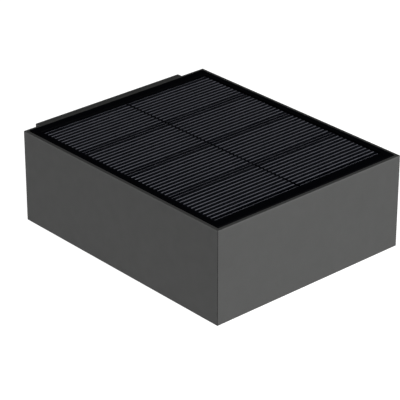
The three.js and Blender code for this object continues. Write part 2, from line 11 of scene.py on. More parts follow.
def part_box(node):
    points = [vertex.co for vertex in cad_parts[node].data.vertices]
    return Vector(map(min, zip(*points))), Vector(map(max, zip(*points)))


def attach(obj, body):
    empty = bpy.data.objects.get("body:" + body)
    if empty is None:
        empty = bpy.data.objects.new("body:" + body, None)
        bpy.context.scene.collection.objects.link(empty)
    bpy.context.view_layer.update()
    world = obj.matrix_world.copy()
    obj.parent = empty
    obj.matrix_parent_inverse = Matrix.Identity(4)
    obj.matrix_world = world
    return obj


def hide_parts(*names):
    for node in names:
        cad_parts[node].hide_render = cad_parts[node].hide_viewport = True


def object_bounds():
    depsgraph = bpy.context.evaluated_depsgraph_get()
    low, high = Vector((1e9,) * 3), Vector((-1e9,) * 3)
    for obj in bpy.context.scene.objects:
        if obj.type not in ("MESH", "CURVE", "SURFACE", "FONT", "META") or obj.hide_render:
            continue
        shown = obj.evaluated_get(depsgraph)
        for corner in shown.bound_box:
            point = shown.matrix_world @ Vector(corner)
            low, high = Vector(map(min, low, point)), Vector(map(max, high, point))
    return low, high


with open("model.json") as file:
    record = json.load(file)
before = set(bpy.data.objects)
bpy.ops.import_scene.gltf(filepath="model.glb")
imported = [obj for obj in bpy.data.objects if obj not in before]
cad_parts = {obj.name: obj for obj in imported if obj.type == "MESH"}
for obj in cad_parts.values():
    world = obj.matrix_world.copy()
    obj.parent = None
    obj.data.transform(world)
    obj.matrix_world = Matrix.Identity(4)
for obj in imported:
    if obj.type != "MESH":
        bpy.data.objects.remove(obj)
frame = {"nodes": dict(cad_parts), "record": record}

MM = 0.001
CAD_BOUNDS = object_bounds()


# ---------- measures taken from the frame ----------

def mm(*values):
    """Millimetres as a tuple of metres."""
    return tuple(value * MM for value in values)


def size_of(node):
    """A CAD node's centre and its size, in metres."""
    low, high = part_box(node)
    return (low + high) / 2, high - low


HOUSING_CENTRE, HOUSING_SIZE = size_of("housing")
CELL_COUNT = 8
LED_COUNT = 8
FASTENER_COUNT = 4  # as many cover screws as hanger rivets


# ---------- camera, lights and floor ----------

CAMERA_AZIMUTH = math.radians(-41.66)
CAMERA_ELEVATION = math.radians(26.71)
CAMERA_DISTANCE = 8.548 * HOUSING_SIZE.x
AIM_ACROSS = -0.0397 * HOUSING_SIZE.x
AIM_UP = -0.0494 * HOUSING_SIZE.x
CAMERA_LENS = 184.6  # in millimetres, like the sensor's width
SENSOR_WIDTH = 36.0
FLOOR_REACH = 30 * HOUSING_SIZE.x
FLOOR_GAP = 0.2 * MM


def direction(azimuth, elevation):
    flat = math.cos(elevation)
    return Vector((math.sin(azimuth) * flat, -math.cos(azimuth) * flat, math.sin(elevation)))


def add_camera():
    """A long lens at the photo's angle, aimed a little left of the housing's middle and below it."""
    data = bpy.data.cameras.new("camera")
    data.lens = CAMERA_LENS
    data.sensor_width = SENSOR_WIDTH
    camera = bpy.data.objects.new("camera", data)
    bpy.context.scene.collection.objects.link(camera)
    back = direction(CAMERA_AZIMUTH, CAMERA_ELEVATION)
    across = Vector((math.cos(CAMERA_AZIMUTH), math.sin(CAMERA_AZIMUTH), 0))
    aim = HOUSING_CENTRE + across * AIM_ACROSS + back.cross(across) * AIM_UP
    camera.location = aim + back * CAMERA_DISTANCE
    camera.rotation_euler = (-back).to_track_quat("-Z", "Y").to_euler()
    bpy.context.scene.camera = camera


def add_softbox(name, azimuth, elevation, distance, width, power):
    """A square area light that faces the housing."""
    data = bpy.data.lights.new(name, "AREA")
    data.shape = "SQUARE"
    data.size = width
    data.energy = power
    lamp = bpy.data.objects.new(name, data)
    bpy.context.scene.collection.objects.link(lamp)
    towards = direction(math.radians(azimuth), math.radians(elevation))
    lamp.location = HOUSING_CENTRE + towards * distance
    lamp.rotation_euler = towards.to_track_quat("Z", "Y").to_euler()


def add_world():
    """Camera rays see a pale backdrop; everything else is lit by a dim, even room."""
    world = bpy.data.worlds.new("studio")
    bpy.context.scene.world = world
    world.use_nodes = True
    nodes, links = world.node_tree.nodes, world.node_tree.links
    nodes.clear()
    room = nodes.new("ShaderNodeBackground")
    room.inputs["Color"].default_value = (1.0, 1.0, 1.0, 1.0)
    room.inputs["Strength"].default_value = 0.015
    backdrop = nodes.new("ShaderNodeBackground")
    backdrop.inputs["Color"].default_value = (1.0, 1.0, 1.0, 1.0)
    backdrop.inputs["Strength"].default_value = 1.0
    rays = nodes.new("ShaderNodeLightPath")
    mix = nodes.new("ShaderNodeMixShader")
    output = nodes.new("ShaderNodeOutputWorld")
    links.new(rays.outputs["Is Camera Ray"], mix.inputs["Fac"])
    links.new(room.outputs[0], mix.inputs[1])
    links.new(backdrop.outputs[0], mix.inputs[2])
    links.new(mix.outputs[0], output.inputs["Surface"])


def floor_material():
    """A pale floor that glows softly from above and isn't there from below, so the underside can be seen."""
    material = bpy.data.materials.new("studio_floor")
    material.use_nodes = True
    nodes, links = material.node_tree.nodes, material.node_tree.links
    nodes.clear()
    paint = nodes.new("ShaderNodeBsdfDiffuse")
    paint.inputs["Color"].default_value = (0.3, 0.3, 0.3, 1.0)
    glow = nodes.new("ShaderNodeEmission")
    glow.inputs["Strength"].default_value = 1.0
    both = nodes.new("ShaderNodeAddShader")
    clear = nodes.new("ShaderNodeBsdfTransparent")
    side = nodes.new("ShaderNodeNewGeometry")
    mix = nodes.new("ShaderNodeMixShader")
    output = nodes.new("ShaderNodeOutputMaterial")
    links.new(paint.outputs[0], both.inputs[0])
    links.new(glow.outputs[0], both.inputs[1])
    links.new(side.outputs["Backfacing"], mix.inputs["Fac"])
    links.new(both.outputs[0], mix.inputs[1])
    links.new(clear.outputs[0], mix.inputs[2])
    links.new(mix.outputs[0], output.inputs["Surface"])
    return material


def add_floor():
    """A square floor just below the light, so wide that its edges are out of sight."""
    level = CAD_BOUNDS[0].z - FLOOR_GAP
    mesh = bpy.data.meshes.new("studio_floor")
    signs = [(-1, -1), (1, -1), (1, 1), (-1, 1)]
    corners = [(x * FLOOR_REACH, y * FLOOR_REACH, level) for x, y in signs]
    mesh.from_pydata(corners, [], [(0, 1, 2, 3)])
    floor = bpy.data.objects.new("studio_floor", mesh)
    bpy.context.scene.collection.objects.link(floor)
    mesh.materials.append(floor_material())


def add_studio():
    """The photo's camera, a pale surround, and two large soft lights: in front and above."""
    add_camera()
    add_world()
    add_floor()
    add_softbox("front_softbox", azimuth=4, elevation=16, distance=1.2, width=0.9, power=11.4)
    add_softbox("top_softbox", azimuth=-30, elevation=78, distance=1.2, width=0.8, power=6.1)
    bpy.context.scene.view_settings.view_transform = "Standard"


# ---------- material building blocks ----------

class Shader:
    """One Principled material with helpers for the procedural nodes that feed it."""

    NOISE_ROUGHNESS = 0.55
    BEVEL_SAMPLES = 6
    EDGE_GAIN = 4.0  # how fast the three edge masks rise to 1
    UPPER_EDGE_GAIN = 6.2
    UPRIGHT_EDGE_GAIN = 9.0
    UPPER_EDGE_END = 0.8  # the upper edges' mask ends where the rounded normal's z reaches this

    def __init__(self, name):
        self.material = bpy.data.materials.new(name)
        self.material.use_nodes = True
        self.nodes = self.material.node_tree.nodes
        self.links = self.material.node_tree.links
        self.surface = self.nodes["Principled BSDF"]
        self.place = self.nodes.new("ShaderNodeTexCoord").outputs["Object"]

    def set(self, **values):
        """Set constants on the Principled node; underscores in a name stand for spaces."""
        for name, value in values.items():
            self.surface.inputs[name.replace("_", " ")].default_value = value

    def drive(self, socket, source):
        """Feed one of the Principled node's sockets from another node."""
        self.links.new(source, self.surface.inputs[socket])

    def stretched(self, x=1.0, y=1.0):
        """Object coordinates, scaled along X and Y; a scale under 1 draws features out."""
        mapping = self.nodes.new("ShaderNodeMapping")
        mapping.inputs["Scale"].default_value = (x, y, 1.0)
        self.links.new(self.place, mapping.inputs["Vector"])
        return mapping.outputs[0]

    def noise(self, feature, detail=3.0, place=None):
        """Noise whose features are about that many metres across."""
        texture = self.nodes.new("ShaderNodeTexNoise")
        texture.inputs["Scale"].default_value = 1.0 / feature
        texture.inputs["Detail"].default_value = detail
        texture.inputs["Roughness"].default_value = self.NOISE_ROUGHNESS
        self.links.new(place or self.place, texture.inputs["Vector"])
        return texture.outputs["Fac"]

    def cells(self, feature):
        """Distance to the middle of the nearest of many cells about that many metres across."""
        texture = self.nodes.new("ShaderNodeTexVoronoi")
        texture.inputs["Scale"].default_value = 1.0 / feature
        self.links.new(self.place, texture.inputs["Vector"])
        return texture.outputs["Distance"]

    def gaps(self, length, width, gap):
        """1 in the gaps between staggered oblongs of that length and width in metres."""
        texture = self.nodes.new("ShaderNodeTexBrick")
        texture.inputs["Scale"].default_value = 1.0
        texture.inputs["Brick Width"].default_value = length
        texture.inputs["Row Height"].default_value = width
        texture.inputs["Mortar Size"].default_value = gap
        self.links.new(self.place, texture.inputs["Vector"])
        return texture.outputs["Fac"]

    def ramp(self, source, low, high, start=0.3, end=0.7):
        """Map a 0-1 value to a range of colours or greys."""
        ramp = self.nodes.new("ShaderNodeValToRGB")
        stops = ramp.color_ramp.elements
        stops[0].position, stops[1].position = start, end
        stops[0].color = colour(low)
        stops[1].color = colour(high)
        self.links.new(source, ramp.inputs["Fac"])
        return ramp.outputs["Color"]

    def blend(self, factor, first, second, mode="MIX"):
        """Mix two colours; each one is a socket or a constant."""
        mix = self.nodes.new("ShaderNodeMix")
        mix.data_type = "RGBA"
        mix.blend_type = mode
        self._feed(mix.inputs["Factor"], factor)
        self._feed(mix.inputs["A"], first)
        self._feed(mix.inputs["B"], second)
        return mix.outputs["Result"]

    def _feed(self, socket, value):
        """Link a socket to another one, or set it to a constant."""
        if isinstance(value, bpy.types.NodeSocket):
            self.links.new(value, socket)
        elif socket.type == "RGBA":
            socket.default_value = colour(value)
        else:
            socket.default_value = value

    def math(self, operation, first, second=0.5):
        """One arithmetic step; each value is a socket or a constant."""
        node = self.nodes.new("ShaderNodeMath")
        node.operation = operation
        self._feed(node.inputs[0], first)
        self._feed(node.inputs[1], second)
        return node.outputs[0]

    def rounded_normal(self, radius):
        """The x, y and z of the normal that the surface would have with its edges rounded."""
        rounded = self.nodes.new("ShaderNodeBevel")
        rounded.samples = self.BEVEL_SAMPLES
        rounded.inputs["Radius"].default_value = radius
        split = self.nodes.new("ShaderNodeSeparateXYZ")
        self.links.new(rounded.outputs[0], split.inputs[0])
        return list(split.outputs)

    def edges(self, radius):
        """1 along edges, 0 on stretches that lie square to an axis."""
        x, y, z = [self.math("ABSOLUTE", part) for part in self.rounded_normal(radius)]
        largest = self.math("MAXIMUM", self.math("MAXIMUM", x, y), z)
        return self.raised(self.math("SUBTRACT", 1.0, largest), self.EDGE_GAIN)

    def upper_edges(self, radius):
        """1 on the upright side of upper edges, 0 on upright and level faces."""
        z = self.rounded_normal(radius)[2]
        leaning = self.math("MULTIPLY", z, self.math("SUBTRACT", self.UPPER_EDGE_END, z))
        return self.raised(leaning, self.UPPER_EDGE_GAIN)

    def upright_edges(self, radius):
        """1 along upright edges, 0 on faces that lie square to X or Y and along level edges."""
        x, y, _ = self.rounded_normal(radius)
        leaning = self.math("ABSOLUTE", self.math("MULTIPLY", x, y))
        return self.raised(leaning, self.UPRIGHT_EDGE_GAIN)

    def raised(self, value, gain):
        """A value times a gain, kept from 0 to 1."""
        node = self.nodes.new("ShaderNodeClamp")
        self.links.new(self.math("MULTIPLY", value, gain), node.inputs["Value"])
        return node.outputs[0]

    def bump(self, height, depth):
        """Bump of that depth in metres from a 0-1 height."""
        bump = self.nodes.new("ShaderNodeBump")
        bump.inputs["Strength"].default_value = 1.0
        bump.inputs["Distance"].default_value = depth
        self.links.new(height, bump.inputs["Height"])
        self.drive("Normal", bump.outputs[0])


def colour(value):
    """A grey or an RGB triple as RGBA."""
    if isinstance(value, (int, float)):
        return (value, value, value, 1.0)
    return (*value, 1.0)


# ---------- materials ----------

def powder_coat():
    """Anthracite powder coat with fine orange peel, a painted highlight along its upper edges and painted
    shade along its upright corners.
    """
    shader = Shader("anthracite_powder_coat")
    shader.set(Metallic=0.0, IOR=1.45)
    broad = shader.noise(14 * MM, detail=4)
    fine = shader.noise(0.35 * MM, detail=2)
    mottled = shader.ramp(broad, (0.0474, 0.0481, 0.0468), (0.0494, 0.0501, 0.0488))
    coat = shader.blend(1.0, mottled, shader.ramp(fine, 0.94, 1.06, 0.35, 0.65), "MULTIPLY")
    # painted highlight: the upper edges are painted lighter, 0.075 against the coat's 0.048, as if they
    # caught the light
    coat_with_painted_highlight = shader.blend(shader.upper_edges(1.5 * MM), coat, 0.075)
    # painted shade: the upright corners are painted near black, 0.002, and fully rough, standing in for the
    # shadow inside a corner joint
    painted_corner_shade = shader.upright_edges(0.45 * MM)
    satin = shader.ramp(shader.noise(6 * MM), 0.59, 0.65)
    # base colour: the coat with its painted highlight, then painted shade along the upright corners
    shader.drive("Base Color", shader.blend(painted_corner_shade, coat_with_painted_highlight, 0.002))
    shader.drive("Roughness", shader.blend(painted_corner_shade, satin, 1.0))
    shader.bump(shader.noise(0.45 * MM, detail=2), 0.02 * MM)
    return shader.material


def black_plastic():
    """Deep black moulded plastic with a fine spark-eroded grain."""
    shader = Shader("black_moulded_plastic")
    shader.set(IOR=1.3, Specular_IOR_Level=0.15)
    shade = shader.ramp(shader.noise(5 * MM), (0.0004, 0.0006, 0.0013), (0.0008, 0.0011, 0.0021))
    shader.drive("Base Color", shader.blend(shader.edges(0.3 * MM), shade, 0.004))
    shader.drive("Roughness", shader.ramp(shader.noise(2 * MM), 0.34, 0.42))
    shader.bump(shader.cells(0.25 * MM), 0.01 * MM)
    return shader.material


def backing_board():
    """Black glass-fibre board whose weave shows faintly through the solder mask."""
    shader = Shader("black_fibre_board")
    shader.set(IOR=1.3, Specular_IOR_Level=0.15)
    warp = shader.noise(0.5 * MM, detail=1, place=shader.stretched(x=0.12))
    weft = shader.noise(0.5 * MM, detail=1, place=shader.stretched(y=0.12))
    weave = shader.math("MULTIPLY", warp, weft)
    tone = shader.ramp(weave, (0.0003, 0.0006, 0.0014), (0.0007, 0.0011, 0.0024), 0.15, 0.4)
    shader.drive("Base Color", tone)
    shader.drive("Roughness", shader.ramp(weave, 0.32, 0.42))
    shader.bump(weave, 0.008 * MM)
    return shader.material


def silicon_cell():
    """Bluish black monocrystalline silicon under its anti-reflection layer."""
    shader = Shader("silicon_cell")
    shader.set(IOR=1.3, Specular_IOR_Level=0.15)
    tone = shader.noise(9 * MM, detail=5)
    shader.drive("Base Color", shader.ramp(tone, (0.0003, 0.0007, 0.002), (0.0007, 0.0012, 0.0032)))
    shader.drive("Roughness", shader.ramp(shader.noise(0.2 * MM), 0.26, 0.36))
    shader.bump(shader.noise(0.08 * MM, detail=1), 0.004 * MM)
    return shader.material


def printed_silver():
    """Dull printed silver paste, grainy, with thin and thick spots along each finger."""
    shader = Shader("printed_silver_fingers")
    shader.set(Metallic=0.0, IOR=1.4)
    grain = shader.noise(0.12 * MM, detail=3)
    along = shader.noise(3 * MM, detail=2, place=shader.stretched(x=0.25))
    paste = shader.ramp(grain, (0.27, 0.278, 0.325), (0.335, 0.344, 0.4))
    shader.drive("Base Color", shader.blend(1.0, paste, shader.ramp(along, 0.92, 1.06), "MULTIPLY"))
    shader.drive("Roughness", shader.ramp(grain, 0.5, 0.75))
    shader.bump(grain, 0.006 * MM)
    return shader.material


def clear_sheet():
    """The panel's thin clear top sheet: it hardly shows, apart from a soft gloss and faint ripples."""
    shader = Shader("clear_top_sheet")
    shader.set(Base_Color=colour((0.0015, 0.002, 0.003)), IOR=1.3, Alpha=0.12)
    shader.drive("Roughness", shader.ramp(shader.noise(4 * MM), 0.2, 0.3))
    shader.bump(shader.noise(8 * MM, detail=2), 0.01 * MM)
    return shader.material


def rubber():
    """Matt black silicone with a dusty mottling."""
    shader = Shader("black_silicone")
    shader.set(IOR=1.4, Specular_IOR_Level=0.35)
    shader.drive("Base Color", shader.ramp(shader.noise(3 * MM, detail=5), 0.008, 0.014))
    shader.drive("Roughness", shader.ramp(shader.noise(1 * MM), 0.72, 0.88))
    shader.bump(shader.noise(0.3 * MM), 0.015 * MM)
    return shader.material


def stainless():
    """Stainless steel, lightly brushed, with edges brightened by wear."""
    shader = Shader("stainless_steel")
    shader.set(Metallic=1.0)
    lines = shader.noise(0.25 * MM, detail=3, place=shader.stretched(x=0.05))
    tone = shader.ramp(lines, (0.5, 0.5, 0.505), (0.62, 0.62, 0.63))
    shader.drive("Base Color", shader.blend(shader.edges(0.25 * MM), tone, 0.78))
    shader.drive("Roughness", shader.ramp(lines, 0.26, 0.42))
    shader.bump(lines, 0.006 * MM)
    return shader.material


def opal():
    """Opal acrylic: white, slightly translucent, with a fine satin texture."""
    shader = Shader("opal_acrylic")
    shader.set(
        Subsurface_Weight=0.35,
        Subsurface_Radius=(1.0, 0.96, 0.9),
        Subsurface_Scale=2 * MM,
        IOR=1.49,
    )
    shader.drive("Base Color", shader.ramp(shader.noise(20 * MM), (0.56, 0.56, 0.545), (0.585, 0.585, 0.57)))
    shader.drive("Roughness", shader.ramp(shader.noise(1 * MM), 0.36, 0.48))
    shader.bump(shader.noise(0.35 * MM, detail=1), 0.01 * MM)
    return shader.material


def white_plastic():
    """Satin white moulding."""
    shader = Shader("white_moulded_plastic")
    shader.set(IOR=1.45)
    shader.drive("Base Color", shader.ramp(shader.noise(12 * MM), (0.66, 0.66, 0.64), (0.72, 0.72, 0.7)))
    shader.drive("Roughness", shader.ramp(shader.noise(2 * MM), 0.42, 0.56))
    shader.bump(shader.cells(0.3 * MM), 0.008 * MM)
    return shader.material


def circuit_board():
    """Green solder mask over staggered copper strips, darker in the gaps between them."""
    shader = Shader("green_circuit_board")
    shader.set(IOR=1.5, Coat_Weight=0.3)
    gaps = shader.gaps(18 * MM, 1.3 * MM, 0.12 * MM)
    mask = shader.ramp(shader.noise(0.6 * MM), (0.018, 0.125, 0.047), (0.023, 0.15, 0.058))
    shader.drive("Base Color", shader.blend(gaps, mask, (0.009, 0.065, 0.025)))
    shader.drive("Roughness", shader.ramp(shader.noise(1 * MM), 0.3, 0.42))
    shader.bump(shader.math("SUBTRACT", 1.0, gaps), 0.03 * MM)
    return shader.material


def phosphor():
    """Yellow phosphor gel on an LED."""
    shader = Shader("led_phosphor")
    shader.set(IOR=1.42)
    shader.drive("Base Color", shader.ramp(shader.noise(0.3 * MM), (0.8, 0.56, 0.08), (0.88, 0.68, 0.14)))
    shader.drive("Roughness", shader.ramp(shader.noise(0.2 * MM), 0.2, 0.35))
    shader.bump(shader.noise(0.15 * MM), 0.005 * MM)
    return shader.material


def shrink_film():
    """Blue shrink film on a lithium cell, with fine wrinkles."""
    shader = Shader("blue_shrink_film")
    shader.set(IOR=1.5, Coat_Weight=0.2)
    wrinkles = shader.noise(1.5 * MM, detail=4, place=shader.stretched(x=0.2))
    shader.drive("Base Color", shader.ramp(wrinkles, (0.02, 0.09, 0.3), (0.035, 0.13, 0.38)))
    shader.drive("Roughness", shader.ramp(wrinkles, 0.25, 0.4))
    shader.bump(wrinkles, 0.03 * MM)
    return shader.material


def nickel():
    """Nickel-plated strip with faint rolling marks."""
    shader = Shader("nickel_strip")
    shader.set(Metallic=1.0)
    marks = shader.noise(0.3 * MM, detail=2, place=shader.stretched(y=0.05))
    shader.drive("Base Color", shader.ramp(marks, (0.5, 0.48, 0.44), (0.6, 0.58, 0.53)))
    shader.drive("Roughness", shader.ramp(marks, 0.3, 0.45))
    shader.bump(marks, 0.005 * MM)
    return shader.material


def lead_insulation():
    """Red PVC insulation, slightly waxy."""
    shader = Shader("red_lead_insulation")
    shader.set(IOR=1.45)
    shader.drive("Base Color", shader.ramp(shader.noise(2 * MM), (0.28, 0.012, 0.01), (0.36, 0.02, 0.015)))
    shader.drive("Roughness", shader.ramp(shader.noise(1 * MM), 0.4, 0.55))
    shader.bump(shader.noise(0.4 * MM), 0.01 * MM)
    return shader.material


FINISHES = {
    "anthracite_coat": powder_coat(),
    "steel": stainless(),
    "clear_sheet": clear_sheet(),
    "solar_cell": silicon_cell(),
    "black_plastic": black_plastic(),
    "black_rubber": rubber(),
    "opal": opal(),
    "white_plastic": white_plastic(),
    "green_board": circuit_board(),
    "led_phosphor": phosphor(),
    "battery_wrap": shrink_film(),
    "nickel": nickel(),
    "lead_insulation": lead_insulation(),
}
SILVER = printed_silver()
BOARD = backing_board()


# ---------- pieces ----------

SLOT_OF = {part["node"]: part["material_slot"] for part in frame["record"]["subparts"]}
BODY_OF = {
    node: body
    for body, nodes in frame["record"]["behaviour"]["bodies"].items()
    for node in nodes
}
ROUNDED_FROM = math.radians(30)  # edges that turn by more than this are rounded
CREASED_FROM = math.radians(40)  # edges that still turn by more than this are shaded as creases
FLAT = math.radians(0.5)  # faces that turn by less than this are merged
WELD = 0.001 * MM  # points closer than this are merged


def add_piece(name, shape, body, slot, material=None):
    """Turn a bmesh into a smoothly shaded piece that rides on a body."""
    mesh = bpy.data.meshes.new(name)
    shape.to_mesh(mesh)
    shape.free()
    piece = bpy.data.objects.new(name, mesh)
    bpy.context.scene.collection.objects.link(piece)
    mesh.materials.append(material or FINISHES[slot])
    for face in mesh.polygons:
        face.use_smooth = True
    mesh.set_sharp_from_angle(angle=CREASED_FROM)
    smooth = piece.modifiers.new("even_shading", "WEIGHTED_NORMAL")
    smooth.keep_sharp = True
    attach(piece, body)
    return piece


def built(name, slot, make, body="lamp", material=None):
    """Make a piece from a function that fills a bmesh."""
    shape = bmesh.new()
    make(shape)
    bmesh.ops.recalc_face_normals(shape, faces=shape.faces)
    return add_piece(name, shape, body, slot, material)


def rebuilt(node, make):
    """Stand a new shape, made by a function that fills a bmesh, in for a CAD node."""
    piece = built(node + "_finished", SLOT_OF[node], make, BODY_OF[node])
    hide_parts(node)


def stand_in(node, shape, material=None):
    """Stand a bmesh in for the CAD node that it was copied from."""
    piece = add_piece(node + "_finished", shape, BODY_OF[node], SLOT_OF[node], material)
    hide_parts(node)


def cleaned(node):
    """A CAD node's mesh with its doubled points merged and its flat faces whole."""
    shape = bmesh.new()
    shape.from_mesh(frame["nodes"][node].data)
    bmesh.ops.remove_doubles(shape, verts=shape.verts, dist=WELD)
    bmesh.ops.dissolve_limit(shape, angle_limit=FLAT, verts=shape.verts, edges=shape.edges)
    return shape


def round_edges(shape, edges, radius, segments):
    """Round the given edges, or as much of them as there is room for."""
    bmesh.ops.bevel(
        shape,
        geom=edges,
        offset=radius,
        offset_type="OFFSET",
        segments=segments,
        profile=0.5,
        affect="EDGES",
        clamp_overlap=True,
    )


def finished(node, edge, segments=3, material=None):
    """Stand a copy of a CAD node with rounded edges in for that node."""
    shape = cleaned(node)
    sharp = [e for e in shape.edges if len(e.link_faces) == 2 and e.calc_face_angle(0) > ROUNDED_FROM]
    round_edges(shape, sharp, edge, segments)
    shape.normal_update()
    stand_in(node, shape, material)


# ---------- shapes that fill a bmesh ----------

def box(shape, centre, size, edge):
    """A box with its edges rounded by that much."""
    place = Matrix.Translation(centre) @ Matrix.Diagonal((*size, 1.0))
    corners = bmesh.ops.create_cube(shape, size=1.0, matrix=place)["verts"]
    edges = list({e for corner in corners for e in corner.link_edges})
    round_edges(shape, edges, edge, segments=2)


def polar(reach, angle, height):
    """A point at that reach and angle round the local Z axis."""
    return Vector((reach * math.cos(angle), reach * math.sin(angle), height))


def skin(shape, rings):
    """Faces between neighbouring rings; a ring that repeats one point makes triangles."""
    for lower, upper in zip(rings, rings[1:]):
        for i in range(len(lower)):
            j = (i + 1) % len(lower)
            around = (lower[i], lower[j], upper[j], upper[i])
            shape.faces.new(list(dict.fromkeys(around)))


def capped_skin(shape, rings):
    """Faces between neighbouring rings, and one over each end."""
    skin(shape, rings)
    shape.faces.new(rings[0][::-1])
    shape.faces.new(rings[-1])


def turned(shape, profile, place, sides=48):
    """Turn (radius, height) points about the local Z axis; a third item makes that ring a hexagon."""
    rings = []
    for radius, height, *hexagonal in profile:
        if radius == 0:
            tip = shape.verts.new(place @ Vector((0, 0, height)))
            rings.append([tip] * sides)
            continue
        ring = []
        for i in range(sides):
            angle = 2 * math.pi * i / sides
            reach = radius * hexagon_share(angle) if hexagonal else radius
            ring.append(shape.verts.new(place @ polar(reach, angle, height)))
        rings.append(ring)
    skin(shape, rings)


def hexagon_share(angle):
    """How far a hexagon reaches at an angle, as a share of its corner radius."""
    step = 2 * math.pi / 6
    return math.cos(step / 2) / math.cos(angle % step - step / 2)


def quarter_turn(steps):
    """Angles from 0 to 90 degrees in that many even steps."""
    return [math.pi / 2 * i / steps for i in range(steps + 1)]


def pointing(centre, axis):
    """A place whose local Z axis points along the given direction."""
    return Matrix.Translation(centre) @ Vector(axis).to_track_quat("Z", "Y").to_matrix().to_4x4()


# ---------- fasteners ----------

THREAD_PITCH = 0.5 * MM
THREAD_DEPTH = 0.28 * MM
THREAD_SIDES = 24
THREAD_ROWS = 6  # rings of points for each turn of the thread
TIP_SHARE = 0.55  # the rod's thickness at its tip, as a share of the full one
HEAD_SHARE = 0.6  # a pan head's height, as a share of its radius
SOCKET_SHARE = 0.5  # a socket's corner radius, as a share of the head's radius
SOCKET_DEPTH_SHARE = 0.62  # a socket's depth, as a share of the head's height
SHANK_SHARE = 0.53  # a shank's radius, as a share of the head's radius
RIVET_DOME_SHARE = 0.18  # the height of a rivet's domes, as a share of its length
RIVET_SHANK_SHARE = 0.5  # a rivet's shank, as a share of its head's radius
RIVET_TAIL_SHARE = 0.78  # a rivet's upset tail, as a share of its head's radius


def thread(shape, radius, length, place):
    """A threaded rod along the local Z axis that tapers over its last two turns."""
    rows = round(length / THREAD_PITCH * THREAD_ROWS)
    rings = []
    for row in range(rows + 1):
        height = length * row / rows
        full = min(1.0, (rows - row) / (2 * THREAD_ROWS))
        ring = []
        for i in range(THREAD_SIDES):
            phase = (height / THREAD_PITCH - i / THREAD_SIDES) % 1.0
            groove = THREAD_DEPTH * abs(2 * phase - 1)
            reach = (radius - groove) * (TIP_SHARE + (1 - TIP_SHARE) * full)
            ring.append(shape.verts.new(place @ polar(reach, 2 * math.pi * i / THREAD_SIDES, height)))
        rings.append(ring)
    capped_skin(shape, rings)


def add_screw(node, axis):
    """A pan head screw with a hexagon socket and a real thread; the axis points out of its head."""
    centre, size = size_of(node)
    out = Vector(axis)
    length = abs(size.dot(out))
    radius = max(abs(part) for part in size.cross(out)) / 2
    place = pointing(centre - out * length / 2, out)
    head = HEAD_SHARE * radius
    seat = length - head
    socket = SOCKET_SHARE * radius
    socket_floor = length - SOCKET_DEPTH_SHARE * head
    downwards = place @ Matrix.Translation((0, 0, seat)) @ Matrix.Rotation(math.pi, 4, "X")

    def make(shape):
        turned(shape, [
            (0, seat),
            (radius - 0.1 * MM, seat),
            (radius, seat + 0.12 * MM),
            (radius, seat + 0.4 * head),
            (radius * 0.94, seat + 0.68 * head),
            (radius * 0.8, seat + 0.88 * head),
            (radius * 0.66, length),
            (socket * 1.08, length, "hexagon"),
            (socket, length - 0.1 * MM, "hexagon"),
            (socket, socket_floor, "hexagon"),
            (0, socket_floor - 0.25 * MM),
        ], place)
        thread(shape, SHANK_SHARE * radius, seat, downwards)

    rebuilt(node, make)


def add_rivet(node):
    """A domed rivet through the housing's rear wall and the hanger plate."""
    centre, size = size_of(node)
    radius = size.x / 2
    length = size.y
    dome = RIVET_DOME_SHARE * length
    shank = RIVET_SHANK_SHARE * radius
    tail_radius = RIVET_TAIL_SHARE * radius

    def make(shape):
        place = pointing(centre - Vector((0, length / 2, 0)), (0, 1, 0))
        head = [(radius * math.sin(t), length - dome + dome * math.cos(t)) for t in quarter_turn(8)]
        tail = [(tail_radius * math.sin(t), dome - dome * math.cos(t)) for t in quarter_turn(8)]
        rod = [(shank, dome + 0.05 * MM), (shank, length - dome - 0.05 * MM)]
        turned(shape, tail + rod + head[::-1], place)

    rebuilt(node, make)


def add_fasteners():
    """The cover screws point down, the clamp screws out of the bracket's two sides."""
    for number in range(1, FASTENER_COUNT + 1):
        add_screw(f"cover_screw_{number}", (0, 0, -1))
        add_rivet(f"hanger_rivet_{number}")
    add_screw("clamp_screw_left", (-1, 0, 0))
    add_screw("clamp_screw_right", (1, 0, 0))


# ---------- printed fingers on the cells ----------

FINGERS = 12
FINGER_WIDTH = 0.66 * MM
END_FINGER_WIDTH = 0.2 * MM
FINGER_HEIGHT = 0.06 * MM
FINGER_INSET = 0.35 * MM  # from a cell's edge to the end of a finger
FINGER_PITCH = 3.064 * MM
FINGER_LIFT = 0.005 * MM  # keeps a finger's underside from lying in the cell's face
FINGER_OUTLINE = [(-0.5, 0.0), (-0.42, 0.75), (-0.25, 1.0), (0.25, 1.0), (0.42, 0.75), (0.5, 0.0)]


def finger(shape, ends, y, z, width):
    """One low rounded bar along X."""
    rings = []
    for x in ends:
        ring = [(x, y + across * width, z + up * FINGER_HEIGHT) for across, up in FINGER_OUTLINE]
        rings.append([shape.verts.new(point) for point in ring])
    capped_skin(shape, rings)


def add_fingers():
    """Twelve contact fingers on every cell, with a thinner one at each end."""
    for number in range(1, CELL_COUNT + 1):
        low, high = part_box(f"solar_cell_{number}")
        ends = (low.x + FINGER_INSET, high.x - FINGER_INSET)

        def make(shape):
            for index in range(FINGERS):
                y = (low.y + high.y) / 2 + (index - (FINGERS - 1) / 2) * FINGER_PITCH
                width = END_FINGER_WIDTH if index in (0, FINGERS - 1) else FINGER_WIDTH
                finger(shape, ends, y, high.z + FINGER_LIFT, width)

        built(f"cell_fingers_{number}", "solar_cell", make, material=SILVER)


# ---------- light source ----------

LED_SIDES = 40
LED_RECESS = 0.18 * MM
LED_CUP_SHARE = 0.76  # the cup's radius, as a share of half the package's width
LED_WIDTH_SHARE = 0.96  # the package's width, as a share of the CAD node's
PHOSPHOR_SHARE = 0.985  # the phosphor's radius, as a share of the cup's
PHOSPHOR_DOME = 0.1 * MM
PLATING = 0.08 * MM
PAD_SIZE = mm(1.1, 2.4, 0.1)
PAD_REACH_SHARE = 0.62  # from an LED's middle to a pad's, as a share of the package's width
PAD_LIFT = 0.03 * MM


